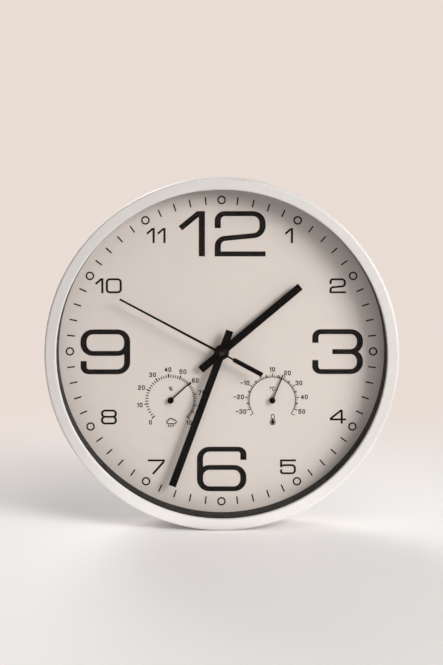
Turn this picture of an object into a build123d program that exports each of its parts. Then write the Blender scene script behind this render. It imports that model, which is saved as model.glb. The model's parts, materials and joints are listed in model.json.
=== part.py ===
from build123d import *
import os
from math import atan2, cos, degrees, hypot, radians, sin

# Wall clock with a thermometer and a hygrometer on its dial, in millimetres.
# Bench axes: X right, Y up, Z forward from the wall, with the hands' axis at X = Y = 0.

# Case, glass and inner ring
case_diameter = 300.0
case_depth = 42.4
case_wall = 3.0
lip_thickness = 2.5
lip_outer_fillet = 2.0
lip_inner_fillet = 1.2
rear_edge_fillet = 1.0
glass_thickness = 2.0
ring_depth = 15.5
ring_wall = 1.2
ring_flange_thickness = 1.5
dial_thickness = 0.8

# Back plate and its ribs
plate_thickness = 2.0
rib_height = 1.6
rib_width = 1.6
inner_rib_gap = 5.4
rib_edge_gap = 6.0
radial_rib_count = 12
radial_rib_start = 15.0

# Screws and the bosses that take them
screw_count = 6
screw_start = 30.0
boss_diameter = 5.0
boss_end_gap = 1.0
boss_floor = 1.8
screw_diameter = 2.4
screw_length = 10.0
screw_head_diameter = 5.2
screw_head_height = 1.6
screw_head_gap = 0.1
screw_tip_gap = 0.6

# Keyhole hanger on the back plate
hanger_edge_gap = 16.4
hanger_seat_gap = 1.0
hanger_width = 30.0
hanger_length = 36.0
hanger_wall = 2.0
hanger_wall_distance = 1.5
hanger_corner = 3.0
keyhole_entry_diameter = 9.2
keyhole_slot_width = 4.6
keyhole_travel = 12.0
keyhole_drop = 6.0
ear_reach = 9.0
ear_height = 10.0
ear_thickness = 1.6

# Movement case, its clips and its brass bushing
movement_wall = 1.2
movement_corner = 3.0
lid_thickness = 1.6
train_wall_gap = 1.15
motor_wall_gap = 0.6
clip_width = 6.0
clip_thickness = 1.0
clip_length = 7.0
clip_spread = 13.0
clip_frame = 1.5
catch_height = 1.4
catch_depth = 0.7
finger_notch_diameter = 16.0
bushing_diameter = 8.0
bushing_flange_rim = 1.5
bushing_flange_thickness = 0.8
thread_show = 0.5
washer_rim = 2.0
washer_thickness = 0.5
nut_wall = 0.8
nut_height = 2.3

# Battery and its spring contacts
cell_diameter = 14.2
cell_length = 49.2
cell_nub_diameter = 5.5
cell_nub_height = 1.0
cell_edge = 0.6
cell_gap = 0.7
contact_room = 1.7
leaf_thickness = 0.4
leaf_height = 10.0
leaf_tab_height = 2.6
leaf_tab_length = 3.4
leaf_end_flat = 1.6

# Circuit board with its crystal and chip
board_end_gap = 1.8
board_width = 7.0
board_thickness = 0.8
board_edge_gap = 0.6
crystal_diameter = 2.0
crystal_length = 6.0
crystal_place = 16.0
chip_size = 5.0
chip_thickness = 1.0
chip_place = 6.0

# Stepping motor
coil_length = 13.0
coil_diameter = 6.6
coil_flange_rim = 0.3
coil_flange_thickness = 1.0
coil_gap = 1.7
core_width = 3.0
core_thickness = 1.0
stator_thickness = 1.0
stator_margin = 5.0
stator_leg_width = 3.3
stator_post_diameter = 2.4
magnet_diameter = 5.6
magnet_length = 3.0
magnet_gap = 0.5

# Wheel train, from the rotor to the hands
train_module = 0.35
setting_module = 0.40
rotor_leaves = 10
fifth_teeth = 50
fifth_leaves = 10
second_teeth = 60
second_leaves = 8
third_teeth = 60
third_leaves = 8
centre_teeth = 64
cannon_teeth = 12
minute_teeth = 36
minute_leaves = 10
hour_teeth = 40
knob_teeth = 18
fifth_bearing = 150.0
rotor_bearing = -120.2
third_bearing = -20.0
minute_bearing = 60.0
knob_bearing = 30.0
addendum_share = 0.85
dedendum_share = 1.15
root_width_share = 0.50
tip_width_share = 0.20

# Depths and shafts of the train
wheel_thickness = 1.0
layer_gap = 0.4
arbor_gap = 1.05
pivot_boss_height = 1.2
pivot_boss_diameter = 2.6
pivot_depth = 0.6
arbor_diameter = 0.8
second_arbor_diameter = 1.0
cannon_diameter = 3.0
cannon_tooth_length = 1.8
collar_diameter = 5.0
collar_thickness = 0.4
clutch_gap = 0.05
spring_length = 0.9
spring_diameter = 6.4
spring_sheet = 0.3
hour_pipe_diameter = 5.0
minute_stud_diameter = 1.6
spoke_count = 4
spoke_width = 1.6
wheel_rim = 1.6
hub_diameter = 4.0
knob_diameter = 11.0
knob_thickness = 1.7
knob_shaft_diameter = 2.0
knurl_count = 20
knurl_depth = 0.6

# Hands: tip gaps from the inner ring, tails from the axis, angles clockwise from twelve at rest
hand_thickness = 0.5
hand_width = 6.4
hand_rise = 1.3
hand_spacing = 1.9
collet_height = 1.0
collet_wall = 0.9
hour_tip_gap = 52.0
hour_tail = 23.5
hour_hub_diameter = 13.0
hour_angle = 49.9
minute_tip_gap = 17.3
minute_tail = 20.3
minute_hub_diameter = 11.2
minute_angle = 200.2
second_tip_gap = 41.5
second_tail = 39.4
second_width = 1.5
second_neck = 11.5
second_weight_width = 3.9
second_angle = 298.1
cap_diameter = 9.2
cap_edge = 0.5
cap_crown = 1.8

# Thermometer and hygrometer
gauge_side_gap = 0.8
gauge_drop = 42.25
needle_length = 23.8
needle_width = 1.0
needle_thickness = 0.4
needle_hub_diameter = 5.2
needle_hub_height = 2.0
needle_rise = 0.5
needle_arbor_diameter = 1.2
thermometer_angle = 22.6
hygrometer_angle = 47.5
housing_wall = 1.0
vent_count = 6
vent_length = 6.0
vent_width = 1.6
vent_reach = 8.5
strip_thickness = 0.35
strip_height = 5.0
strip_gap = 1.5
strip_pitch = 2.5
strip_half_turns = 8
strip_start_radius = 1.3
post_width = 2.0
post_length = 2.25

# Clearances
edge_gap = 0.6
hole_gap = 0.2
running_gap = 0.1
push_gap = 0.02
cut_overrun = 1.0

# Depth stations, from the lip back to the movement
glass_front = case_depth - lip_thickness
glass_back = glass_front - glass_thickness
flange_back = glass_back - ring_flange_thickness
boss_front = flange_back - boss_end_gap
dial_front = glass_back - ring_depth
dial_back = dial_front - dial_thickness
plate_back = dial_back - plate_thickness
rib_back = plate_back - rib_height
lid_back = plate_back - lid_thickness

# Depth stations of the wheels, from the lid back to the rear wall of the movement
lid_boss_back = lid_back - pivot_boss_height
hour_wheel_front = lid_boss_back - layer_gap
hour_wheel_back = hour_wheel_front - wheel_thickness
cannon_teeth_front = hour_wheel_back - layer_gap - layer_gap
cannon_teeth_back = cannon_teeth_front - cannon_tooth_length
minute_wheel_back = cannon_teeth_back + layer_gap
minute_wheel_front = minute_wheel_back + wheel_thickness
spring_back = cannon_teeth_back - spring_length
centre_wheel_front = spring_back - clutch_gap
centre_wheel_back = centre_wheel_front - wheel_thickness
collar_front = centre_wheel_back - clutch_gap
collar_back = collar_front - collar_thickness
second_pinion_front = collar_back - layer_gap
third_wheel_front = second_pinion_front - layer_gap
third_wheel_back = third_wheel_front - wheel_thickness
second_wheel_front = third_wheel_back - layer_gap
second_wheel_back = second_wheel_front - wheel_thickness
fifth_pinion_back = second_wheel_back - layer_gap
rear_boss_front = fifth_pinion_back - layer_gap
room_back = rear_boss_front - pivot_boss_height
movement_back = room_back - movement_wall
stator_back = centre_wheel_front + layer_gap
stator_front = stator_back + stator_thickness
core_back = stator_back - core_thickness
magnet_back = (stator_back + stator_front - magnet_length) / 2
arbor_back = room_back - pivot_depth + running_gap
arbor_front = lid_back + pivot_depth - running_gap
board_front = room_back + board_thickness
catch_back = lid_back - clip_length

# Depth stations of the hands
washer_front = dial_front + washer_thickness
nut_front = washer_front + nut_height
bushing_front = nut_front + thread_show
hour_hand_back = bushing_front + hand_rise
hour_hand_front = hour_hand_back + hand_thickness
minute_hand_back = hour_hand_front + hand_spacing
minute_hand_front = minute_hand_back + hand_thickness
second_hand_back = minute_hand_front + hand_spacing
second_hand_front = second_hand_back + hand_thickness

# Depth stations of the gauges behind the plate
strip_back = plate_back - strip_gap - strip_height
housing_back = strip_back - strip_gap - housing_wall
needle_seat = housing_back + housing_wall / 2

# Bores that run on the shaft inside them
cannon_bore = second_arbor_diameter + 2 * running_gap
hour_pipe_bore = cannon_diameter + 2 * running_gap
bushing_bore = hour_pipe_diameter + 2 * running_gap

# Radii of the case: the lip covers the bosses and the wall of the inner ring
case_radius = case_diameter / 2
case_bore_radius = case_radius - case_wall
fitted_radius = case_bore_radius - edge_gap
boss_reach = case_bore_radius - screw_head_diameter / 2 - screw_head_gap
ring_radius = boss_reach - boss_diameter / 2 - edge_gap
lip_radius = ring_radius - ring_wall


def from_place(origin, distance, bearing):
    """Place at a distance and a bearing, counter-clockwise from X, from another place."""
    angle = radians(bearing)
    return (origin[0] + distance * cos(angle), origin[1] + distance * sin(angle))


def mesh_distance(module, teeth, mate_teeth):
    return module * (teeth + mate_teeth) / 2


def tip_radius(module, teeth):
    return module * (teeth / 2 + addendum_share)


# Places of the arbors: the third one clears the second wheel, and the derived modules fit the distances
axis_place = (0, 0)
fifth_place = from_place(axis_place, mesh_distance(train_module, fifth_leaves, second_teeth), fifth_bearing)
rotor_place = from_place(fifth_place, mesh_distance(train_module, rotor_leaves, fifth_teeth), rotor_bearing)
third_distance = tip_radius(train_module, second_teeth) + arbor_diameter / 2 + arbor_gap
third_place = from_place(axis_place, third_distance, third_bearing)
minute_distance = mesh_distance(setting_module, cannon_teeth, minute_teeth)
minute_place = from_place(axis_place, minute_distance, minute_bearing)
knob_place = from_place(minute_place, mesh_distance(setting_module, minute_teeth, knob_teeth), knob_bearing)
third_module = 2 * third_distance / (second_leaves + third_teeth)
centre_module = 2 * third_distance / (third_leaves + centre_teeth)
hour_module = 2 * minute_distance / (minute_leaves + hour_teeth)

# Motor below the rotor
coil_flange_diameter = coil_diameter + 2 * coil_flange_rim
core_length = coil_length + 2 * (stator_leg_width + hole_gap)
coil_place = (rotor_place[0], rotor_place[1] - stator_margin - coil_gap - coil_flange_diameter / 2)

# Room of the movement, from the wheels, the motor and the cell that it holds
room_top = knob_place[1] + tip_radius(setting_module, knob_teeth) + train_wall_gap
room_bottom = coil_place[1] - coil_flange_diameter / 2 - train_wall_gap
bay_top = room_bottom - movement_wall
bay_bottom = bay_top - cell_diameter - 2 * cell_gap
cell_half_room = (cell_length + cell_nub_height) / 2 + contact_room
motor_half_room = core_length / 2 - rotor_place[0] + motor_wall_gap
room_half_width = max(cell_half_room, motor_half_room)
movement_half_width = room_half_width + movement_wall
movement_top = room_top + movement_wall
movement_bottom = bay_bottom - movement_wall
movement_middle = (movement_top + movement_bottom) / 2
cell_y = (bay_bottom + bay_top) / 2
cell_z = lid_back - cell_gap - cell_diameter / 2
board_y = room_bottom + board_edge_gap + board_width / 2
board_half_length = room_half_width - board_end_gap

# Gauges beside the movement, the rib round them and the hanger near the upper edge
coil_reach = strip_start_radius + strip_half_turns * strip_pitch / 2 + strip_thickness
housing_radius = coil_reach + running_gap + post_length + housing_wall
gauge_offset = movement_half_width + gauge_side_gap + housing_radius
thermometer_place = (gauge_offset, -gauge_drop)
hygrometer_place = (-gauge_offset, -gauge_drop)
gauge_places = (thermometer_place, hygrometer_place)
inner_rib_radius = hypot(*thermometer_place) + housing_radius + inner_rib_gap
hanger_height = fitted_radius - hanger_edge_gap - hanger_length / 2
ear_place = hanger_width / 2 + ear_reach / 2
ear_places = ((-ear_place, hanger_height), (ear_place, hanger_height))


def disc(diameter, back, front, place=axis_place, bore=0):
    """Round plate, or a tube where it has a bore, between two depths."""
    outline = Circle(diameter / 2)
    if bore:
        outline -= Circle(bore / 2)
    return Pos(*place, back) * extrude(outline, front - back)


def block(width, height, back, front, place):
    """Rectangular block between two depths, centred on a place."""
    return Pos(*place, back) * extrude(Rectangle(width, height), front - back)


def turned(*edges):
    """Solid of revolution about the hands' axis, from a closed half section of radius and depth."""
    return revolve(Plane.XZ * make_face(edges), Axis.Z)


def at_rest(piece, angle, place=axis_place):
    """Piece drawn pointing to twelve, turned clockwise to its angle at rest."""
    return Pos(*place, 0) * Rot(0, 0, -angle) * piece


def toothed(module, teeth, back, front, place, phase):
    """Straight-flanked teeth on a full disc, with one tooth centred on the phase angle."""
    pitch_radius = module * teeth / 2
    root = pitch_radius - dedendum_share * module
    tip = pitch_radius + addendum_share * module
    rising = ((root, -root_width_share), (tip, -tip_width_share))
    falling = ((tip, tip_width_share), (root, root_width_share))
    step = 360 / teeth
    corners = []
    for tooth in range(teeth):
        for radius, width_share in rising + falling:
            bearing = phase + step * (tooth + width_share / 2)
            corners.append(from_place(axis_place, radius, bearing))
    return Pos(*place, back) * extrude(make_face(Polyline(*corners, close=True)), front - back)


def bearing_between(place, mate_place):
    return degrees(atan2(mate_place[1] - place[1], mate_place[0] - place[0]))


def mate_phase(place, teeth, phase, mate_place, mate_teeth):
    """Phase of a wheel whose teeth fall in the gaps of another wheel that is already placed."""
    line = bearing_between(place, mate_place)
    return line + 180 - (phase - line) * teeth / mate_teeth - 180 / mate_teeth


def spoked(wheel, module, teeth, back, front, place):
    """Wheel with its web cut away between spokes, hub and rim."""
    rim_radius = module * (teeth / 2 - dedendum_share) - wheel_rim
    window = Circle(rim_radius) - Circle(hub_diameter / 2)
    for spoke in range(spoke_count // 2):
        window -= Rot(0, 0, 360 * spoke / spoke_count) * Rectangle(2 * rim_radius, spoke_width)
    cut = extrude(window, front - back + 2 * cut_overrun)
    return wheel - Pos(*place, back - cut_overrun) * cut


def screw_ring():
    """Places of the screws round the back plate, and of their bosses."""
    return PolarLocations(boss_reach, screw_count, screw_start)


def front_frame():
    """White case: side wall and lip in one moulding, with the screw bosses inside."""
    section = make_face(
        Polyline(
            (case_bore_radius, 0),
            (case_radius, 0),
            (case_radius, case_depth),
            (lip_radius, case_depth),
            (lip_radius, glass_front),
            (case_bore_radius, glass_front),
            close=True,
        )
    )
    for corner, size in (
        ((case_radius, case_depth), lip_outer_fillet),
        ((lip_radius, case_depth), lip_inner_fillet),
        ((case_radius, 0), rear_edge_fillet),
    ):
        section = fillet(section.vertices().sort_by_distance((*corner, 0))[0], size)
    frame = revolve(Plane.XZ * section, Axis.Z)
    web_length = case_radius - case_wall / 2 - boss_reach
    boss = Circle(boss_diameter / 2) + Pos(web_length / 2, 0) * Rectangle(web_length, boss_diameter)
    pilot = disc(screw_diameter + running_gap, dial_back - cut_overrun, boss_front - boss_floor)
    for place in screw_ring():
        frame += place * Pos(0, 0, dial_back) * extrude(boss, boss_front - dial_back)
        frame -= place * pilot
    return frame


def inner_ring():
    """Black spacer between dial and glass, with a flange that clamps the glass to the lip."""
    return turned(
        Polyline(
            (lip_radius, dial_front),
            (ring_radius, dial_front),
            (ring_radius, flange_back),
            (fitted_radius, flange_back),
            (fitted_radius, glass_back),
            (lip_radius, glass_back),
            close=True,
        )
    )


def dial():
    """Printed dial sheet with holes for the bushing and the two needle arbors."""
    sheet = disc(2 * ring_radius, dial_back, dial_front, bore=bushing_diameter + 2 * hole_gap)
    for place in gauge_places:
        sheet -= arbor_hole(place, dial_back, dial_front)
    return sheet


def arbor_hole(place, back, front):
    diameter = needle_arbor_diameter + 2 * hole_gap
    return disc(diameter, back - cut_overrun, front + cut_overrun, place)


def back_plate():
    """Ribbed plate that carries the dial, the movement, the gauges and the hanger."""
    plate = disc(2 * fitted_radius, plate_back, dial_back, bore=bushing_diameter + 2 * hole_gap)
    plate += ribs()
    for place in gauge_places:
        plate -= arbor_hole(place, plate_back, dial_back)
    clearance_hole = disc(screw_diameter + 2 * hole_gap, plate_back - cut_overrun, dial_back + cut_overrun)
    for place in screw_ring():
        plate -= place * clearance_hole
    pilot_end = dial_back - screw_tip_gap + hole_gap
    for place in ear_places:
        plate -= disc(screw_diameter + running_gap, plate_back, pilot_end, place)
    return plate


def ribs():
    """Round rib and radial ribs behind the plate, left out where the hanger is seated."""
    middle_diameter = 2 * inner_rib_radius
    web = disc(middle_diameter + rib_width, rib_back, plate_back, bore=middle_diameter - rib_width)
    rib_end = fitted_radius - rib_edge_gap
    rib_middle = (rib_end + inner_rib_radius) / 2
    for place in PolarLocations(rib_middle, radial_rib_count, radial_rib_start):
        web += place * block(rib_end - inner_rib_radius, rib_width, rib_back, plate_back, axis_place)
    margin = 2 * hanger_seat_gap
    seat_back = rib_back - cut_overrun
    for width, height in ((hanger_width, hanger_length), (hanger_width + 2 * ear_reach, ear_height)):
        web -= block(width + margin, height + margin, seat_back, plate_back, (0, hanger_height))
    return web


def screw(seat, length):
    """Round-headed screw that enters forward from its seat."""
    head = disc(screw_head_diameter, seat - screw_head_height, seat)
    return head + disc(screw_diameter, seat, seat + length)


def back_screws():
    return Compound([place * screw(plate_back, screw_length) for place in screw_ring()])


def hanger_screws():
    seat = plate_back - ear_thickness
    length = dial_back - screw_tip_gap - seat
    return Compound([Pos(*place, 0) * screw(seat, length) for place in ear_places])


def wall_hanger():
    """Box with a keyhole towards the wall and two ears that screw to the back plate."""
    middle = (0, hanger_height)
    entry = (0, hanger_height - keyhole_drop)
    shell = Pos(*middle, hanger_wall_distance) * extrude(
        RectangleRounded(hanger_width, hanger_length, hanger_corner), plate_back - hanger_wall_distance
    )
    inner_corner = hanger_corner - hanger_wall
    inside = RectangleRounded(hanger_width - 2 * hanger_wall, hanger_length - 2 * hanger_wall, inner_corner)
    keyhole_front = hanger_wall_distance + hanger_wall
    shell -= Pos(*middle, keyhole_front) * extrude(inside, plate_back - keyhole_front)
    ear_back = plate_back - ear_thickness
    for place in ear_places:
        shell += block(ear_reach, ear_height, ear_back, plate_back, place)
        shell -= disc(screw_diameter + 2 * hole_gap, ear_back - cut_overrun, plate_back, place)
    hole_back = hanger_wall_distance - cut_overrun
    hole_front = keyhole_front + cut_overrun
    slot_end = (0, entry[1] + keyhole_travel)
    slot_middle = (0, entry[1] + keyhole_travel / 2)
    shell -= disc(keyhole_entry_diameter, hole_back, hole_front, entry)
    shell -= block(keyhole_slot_width, keyhole_travel, hole_back, hole_front, slot_middle)
    shell -= disc(keyhole_slot_width, hole_back, hole_front, slot_end)
    return shell


def movement_outline(depth):
    outline = RectangleRounded(2 * movement_half_width, movement_top - movement_bottom, movement_corner)
    return Pos(0, movement_middle, 0) * extrude(outline, depth)


def clip_places():
    """Places of the lid's clips: the outer face of the base at two heights on each side."""
    for side in (-1, 1):
        for height in (movement_middle - clip_spread, movement_middle + clip_spread):
            yield side, (side * movement_half_width, height)


def movement_base():
    """Rear shell of the movement: wheel room, battery bay open to the rear, pivots and catches."""
    base = Pos(0, 0, movement_back) * movement_outline(lid_back - movement_back)
    room_middle = (0, (room_bottom + room_top) / 2)
    base -= block(2 * room_half_width, room_top - room_bottom, room_back, lid_back, room_middle)
    bay_back = movement_back - cut_overrun
    base -= block(2 * room_half_width, bay_top - bay_bottom, bay_back, lid_back, (0, cell_y))
    slot_width = 2 * leaf_thickness + running_gap
    slot_front = board_front + leaf_tab_height + running_gap
    for side in (-1, 1):
        slot_place = (side * (room_half_width - slot_width / 2), (bay_top + room_bottom) / 2)
        base -= block(slot_width, room_bottom - bay_top, room_back, slot_front, slot_place)
    for place in (axis_place, fifth_place, third_place, rotor_place):
        base += disc(pivot_boss_diameter, room_back, rear_boss_front, place)
    pivots = [(axis_place, second_arbor_diameter)]
    pivots += [(place, arbor_diameter) for place in (fifth_place, third_place, rotor_place)]
    for place, diameter in pivots:
        base -= disc(diameter + 2 * running_gap, room_back - pivot_depth, rear_boss_front, place)
    for _, place in clip_places():
        catch_width = clip_width - 2 * (clip_frame + hole_gap)
        base += block(2 * catch_depth, catch_width, catch_back, catch_back + catch_height, place)
    notch = Rot(90, 0, 0) * extrude(Circle(finger_notch_diameter / 2), movement_wall + cut_overrun, both=True)
    base -= Pos(0, movement_bottom, movement_back) * notch
    shaft_hole = knob_shaft_diameter + 2 * running_gap
    return base - disc(shaft_hole, movement_back - cut_overrun, room_back + cut_overrun, knob_place)


def stator_leg_places():
    """Middles of the two stator legs, beside the coil."""
    reach = core_length / 2 - stator_leg_width / 2
    return ((coil_place[0] - reach, coil_place[1]), (coil_place[0] + reach, coil_place[1]))


def movement_lid():
    """Front plate of the movement: front pivots, minute stud, stator posts and clips over the base."""
    lid = Pos(0, 0, lid_back) * movement_outline(lid_thickness)
    lid -= disc(bushing_diameter + 2 * running_gap, lid_back - cut_overrun, plate_back + cut_overrun)
    for place in (fifth_place, third_place, rotor_place, knob_place, minute_place):
        lid += disc(pivot_boss_diameter, lid_boss_back, lid_back, place)
    for place in (fifth_place, third_place, rotor_place, knob_place):
        lid -= disc(arbor_diameter + 2 * running_gap, lid_boss_back, lid_back + pivot_depth, place)
    lid += disc(minute_stud_diameter, minute_wheel_back - running_gap, lid_back, minute_place)
    for place in stator_leg_places():
        lid += disc(stator_post_diameter, stator_front, lid_back, place)
    for side, place in clip_places():
        lid += clip(side, place)
    return lid


def clip(side, place):
    """Springy arm of the lid beside the base, with a window for the catch."""
    arm_middle = (place[0] + side * (running_gap + clip_thickness / 2), place[1])
    clip_back = catch_back - hole_gap - clip_frame
    arm = block(clip_thickness, clip_width, clip_back, plate_back, arm_middle)
    arm += block(2 * running_gap + clip_thickness, clip_width, lid_back, plate_back, place)
    window_back = catch_back - hole_gap
    window_front = catch_back + catch_height + hole_gap
    window = block(clip_thickness, clip_width - 2 * clip_frame, window_back, window_front, arm_middle)
    return arm - window


def centre_bushing():
    """Brass bushing through lid, plate and dial, with a flange behind the lid."""
    flange_diameter = bushing_diameter + 2 * bushing_flange_rim
    flange = disc(flange_diameter, lid_back - bushing_flange_thickness, lid_back, bore=bushing_bore)
    return flange + disc(bushing_diameter, lid_back, bushing_front, bore=bushing_bore)


def movement_washer():
    washer_diameter = bushing_diameter + 2 * washer_rim
    return disc(washer_diameter, dial_front, washer_front, bore=bushing_diameter + 2 * running_gap)


def movement_nut():
    """Thin hexagon nut on the bushing."""
    hexagon = RegularPolygon(bushing_diameter / 2 + nut_wall, 6, major_radius=False)
    hole = Circle(bushing_diameter / 2 + push_gap)
    return Pos(0, 0, washer_front) * extrude(hexagon - hole, nut_height)


def battery_cell():
    """Round cell lying along X with its nub to the right."""
    half = cell_length / 2
    radius = cell_diameter / 2
    nub_radius = cell_nub_diameter / 2
    section = make_face(
        Polyline(
            (-half, 0),
            (-half, radius - cell_edge),
            (cell_edge - half, radius),
            (half - cell_edge, radius),
            (half, radius - cell_edge),
            (half, nub_radius),
            (half + cell_nub_height, nub_radius),
            (half + cell_nub_height, 0),
            close=True,
        )
    )
    return Pos(-cell_nub_height / 2, cell_y, cell_z) * revolve(section, Axis.X)


def contact(side):
    """Bowed leaf at one end of the cell, with a tab through the partition onto the board."""
    wall_face = room_half_width - running_gap
    leaf_back = wall_face - leaf_thickness
    apex = (cell_length + cell_nub_height) / 2 + push_gap
    bay_half = (bay_top - bay_bottom) / 2 - leaf_end_flat
    low = cell_y - bay_half
    high = cell_y + bay_half
    bow = make_face(
        [
            ThreePointArc((leaf_back, low), (apex, cell_y), (leaf_back, high)),
            Line((leaf_back, high), (wall_face, high)),
            ThreePointArc((wall_face, high), (apex + leaf_thickness, cell_y), (wall_face, low)),
            Line((wall_face, low), (leaf_back, low)),
        ]
    )
    leaf = Pos(0, 0, board_front) * extrude(bow, leaf_height)
    tab_top = room_bottom + leaf_tab_length
    strip_middle = ((leaf_back + wall_face) / 2, (high + tab_top) / 2)
    leaf += block(leaf_thickness, tab_top - high, board_front, board_front + leaf_tab_height, strip_middle)
    foot_width = board_end_gap + leaf_tab_height
    foot_middle = (wall_face - foot_width / 2, tab_top - leaf_tab_length / 4)
    leaf += block(foot_width, leaf_tab_length / 2, board_front, board_front + leaf_thickness, foot_middle)
    return leaf if side > 0 else mirror(leaf, about=Plane.YZ)


def circuit_board():
    return block(2 * board_half_length, board_width, room_back, board_front, (0, board_y))


def quartz_crystal():
    """Can of the quartz crystal, lying along the board."""
    can = Rot(0, 90, 0) * extrude(Circle(crystal_diameter / 2), crystal_length / 2, both=True)
    return Pos(crystal_place, board_y, board_front + crystal_diameter / 2 + push_gap) * can


def drive_chip():
    return block(chip_size, chip_size, board_front, board_front + chip_thickness, (chip_place, board_y))


def motor_coil():
    """Winding between two bobbin flanges, with a slot for the core."""
    winding = extrude(Circle(coil_diameter / 2), coil_length / 2, both=True)
    flange = extrude(Circle(coil_flange_diameter / 2), coil_flange_thickness)
    winding += Pos(0, 0, -coil_length / 2) * flange
    winding += Pos(0, 0, coil_length / 2 - coil_flange_thickness) * flange
    slot = Rectangle(core_thickness + 2 * running_gap, core_width + 2 * running_gap)
    winding -= extrude(slot, coil_length / 2 + cut_overrun, both=True)
    return Pos(*coil_place, core_back + core_thickness / 2) * Rot(0, 90, 0) * winding


def coil_core():
    return block(core_length, core_width, core_back, stator_back, coil_place)


def stator():
    """Plate round the rotor, with two legs that bear on the ends of the coil core."""
    bottom = coil_place[1] - core_width / 2
    top = rotor_place[1] + stator_margin
    window_top = rotor_place[1] - stator_margin
    window_width = coil_length + 2 * hole_gap
    middle_x = rotor_place[0]
    plate = block(core_length, top - bottom, stator_back, stator_front, (middle_x, (top + bottom) / 2))
    cut_bottom = bottom - cut_overrun
    cut_middle = (middle_x, (cut_bottom + window_top) / 2)
    plate -= block(window_width, window_top - cut_bottom, stator_back, stator_front, cut_middle)
    return plate - disc(magnet_diameter + 2 * magnet_gap, stator_back, stator_front, rotor_place)


def plain_arbor(place):
    return disc(arbor_diameter, arbor_back, arbor_front, place)


# Phases at rest: each driver has a tooth on its line of centres and its mate a gap
fifth_leaf_phase = bearing_between(fifth_place, axis_place)
second_wheel_phase = mate_phase(fifth_place, fifth_leaves, fifth_leaf_phase, axis_place, second_teeth)
rotor_phase = bearing_between(rotor_place, fifth_place)
fifth_wheel_phase = mate_phase(rotor_place, rotor_leaves, rotor_phase, fifth_place, fifth_teeth)
second_leaf_phase = bearing_between(axis_place, third_place)
third_wheel_phase = mate_phase(axis_place, second_leaves, second_leaf_phase, third_place, third_teeth)
third_leaf_phase = bearing_between(third_place, axis_place)
centre_wheel_phase = mate_phase(third_place, third_leaves, third_leaf_phase, axis_place, centre_teeth)
cannon_phase = bearing_between(axis_place, minute_place)
minute_wheel_phase = mate_phase(axis_place, cannon_teeth, cannon_phase, minute_place, minute_teeth)
minute_leaf_phase = bearing_between(minute_place, axis_place)
hour_wheel_phase = mate_phase(minute_place, minute_leaves, minute_leaf_phase, axis_place, hour_teeth)
knob_phase = mate_phase(minute_place, minute_teeth, minute_wheel_phase, knob_place, knob_teeth)


def rotor():
    """Magnet with its pinion on one arbor."""
    pinion_back = third_wheel_back - layer_gap
    pinion = toothed(train_module, rotor_leaves, pinion_back, second_pinion_front, rotor_place, rotor_phase)
    magnet = disc(magnet_diameter, magnet_back, magnet_back + magnet_length, rotor_place)
    return plain_arbor(rotor_place) + pinion + magnet


def fifth_wheel():
    wheel = toothed(
        train_module, fifth_teeth, third_wheel_back, third_wheel_front, fifth_place, fifth_wheel_phase
    )
    wheel = spoked(wheel, train_module, fifth_teeth, third_wheel_back, third_wheel_front, fifth_place)
    pinion = toothed(
        train_module, fifth_leaves, fifth_pinion_back, third_wheel_back, fifth_place, fifth_leaf_phase
    )
    return plain_arbor(fifth_place) + wheel + pinion


def second_wheel():
    """Seconds wheel on the long arbor that carries the second hand."""
    wheel = toothed(
        train_module, second_teeth, second_wheel_back, second_wheel_front, axis_place, second_wheel_phase
    )
    wheel = spoked(wheel, train_module, second_teeth, second_wheel_back, second_wheel_front, axis_place)
    pinion = toothed(
        third_module, second_leaves, second_wheel_front, second_pinion_front, axis_place, second_leaf_phase
    )
    return disc(second_arbor_diameter, arbor_back, second_hand_front) + wheel + pinion


def third_wheel():
    wheel = toothed(
        third_module, third_teeth, third_wheel_back, third_wheel_front, third_place, third_wheel_phase
    )
    wheel = spoked(wheel, third_module, third_teeth, third_wheel_back, third_wheel_front, third_place)
    pinion_front = centre_wheel_front + layer_gap
    pinion = toothed(
        centre_module, third_leaves, third_wheel_front, pinion_front, third_place, third_leaf_phase
    )
    return plain_arbor(third_place) + wheel + pinion


def centre_wheel():
    """Wheel that turns once an hour and grips the cannon pinion through the clutch spring."""
    wheel = toothed(
        centre_module, centre_teeth, centre_wheel_back, centre_wheel_front, axis_place, centre_wheel_phase
    )
    bore = cannon_diameter + 2 * running_gap
    wheel += disc(collar_diameter + hub_diameter / 2, centre_wheel_back, centre_wheel_front)
    return wheel - disc(bore, centre_wheel_back - cut_overrun, centre_wheel_front + cut_overrun)


def clutch_spring():
    """Dished washer that presses the centre wheel against the collar."""
    inner = cannon_diameter / 2 + push_gap
    outer = spring_diameter / 2
    front = cannon_teeth_back
    return turned(
        Polyline(
            (inner, front - spring_sheet),
            (inner, front),
            (outer, spring_back + spring_sheet),
            (outer, spring_back),
            close=True,
        )
    )


def cannon_pinion():
    """Tube with the pinion of the motion work, which carries the minute hand."""
    pinion = toothed(
        setting_module, cannon_teeth, cannon_teeth_back, cannon_teeth_front, axis_place, cannon_phase
    )
    pinion += disc(cannon_diameter, collar_back, minute_hand_front)
    pinion += disc(collar_diameter, collar_back, collar_front)
    return pinion - disc(cannon_bore, collar_back - cut_overrun, minute_hand_front + cut_overrun)


def minute_wheel():
    """Motion-work wheel and pinion, turning on the stud of the lid."""
    wheel = toothed(
        setting_module, minute_teeth, minute_wheel_back, minute_wheel_front, minute_place, minute_wheel_phase
    )
    pinion_front = lid_boss_back - running_gap
    wheel += toothed(
        hour_module, minute_leaves, minute_wheel_front, pinion_front, minute_place, minute_leaf_phase
    )
    bore = minute_stud_diameter + 2 * running_gap
    return wheel - disc(bore, minute_wheel_back - cut_overrun, lid_back, minute_place)


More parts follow.
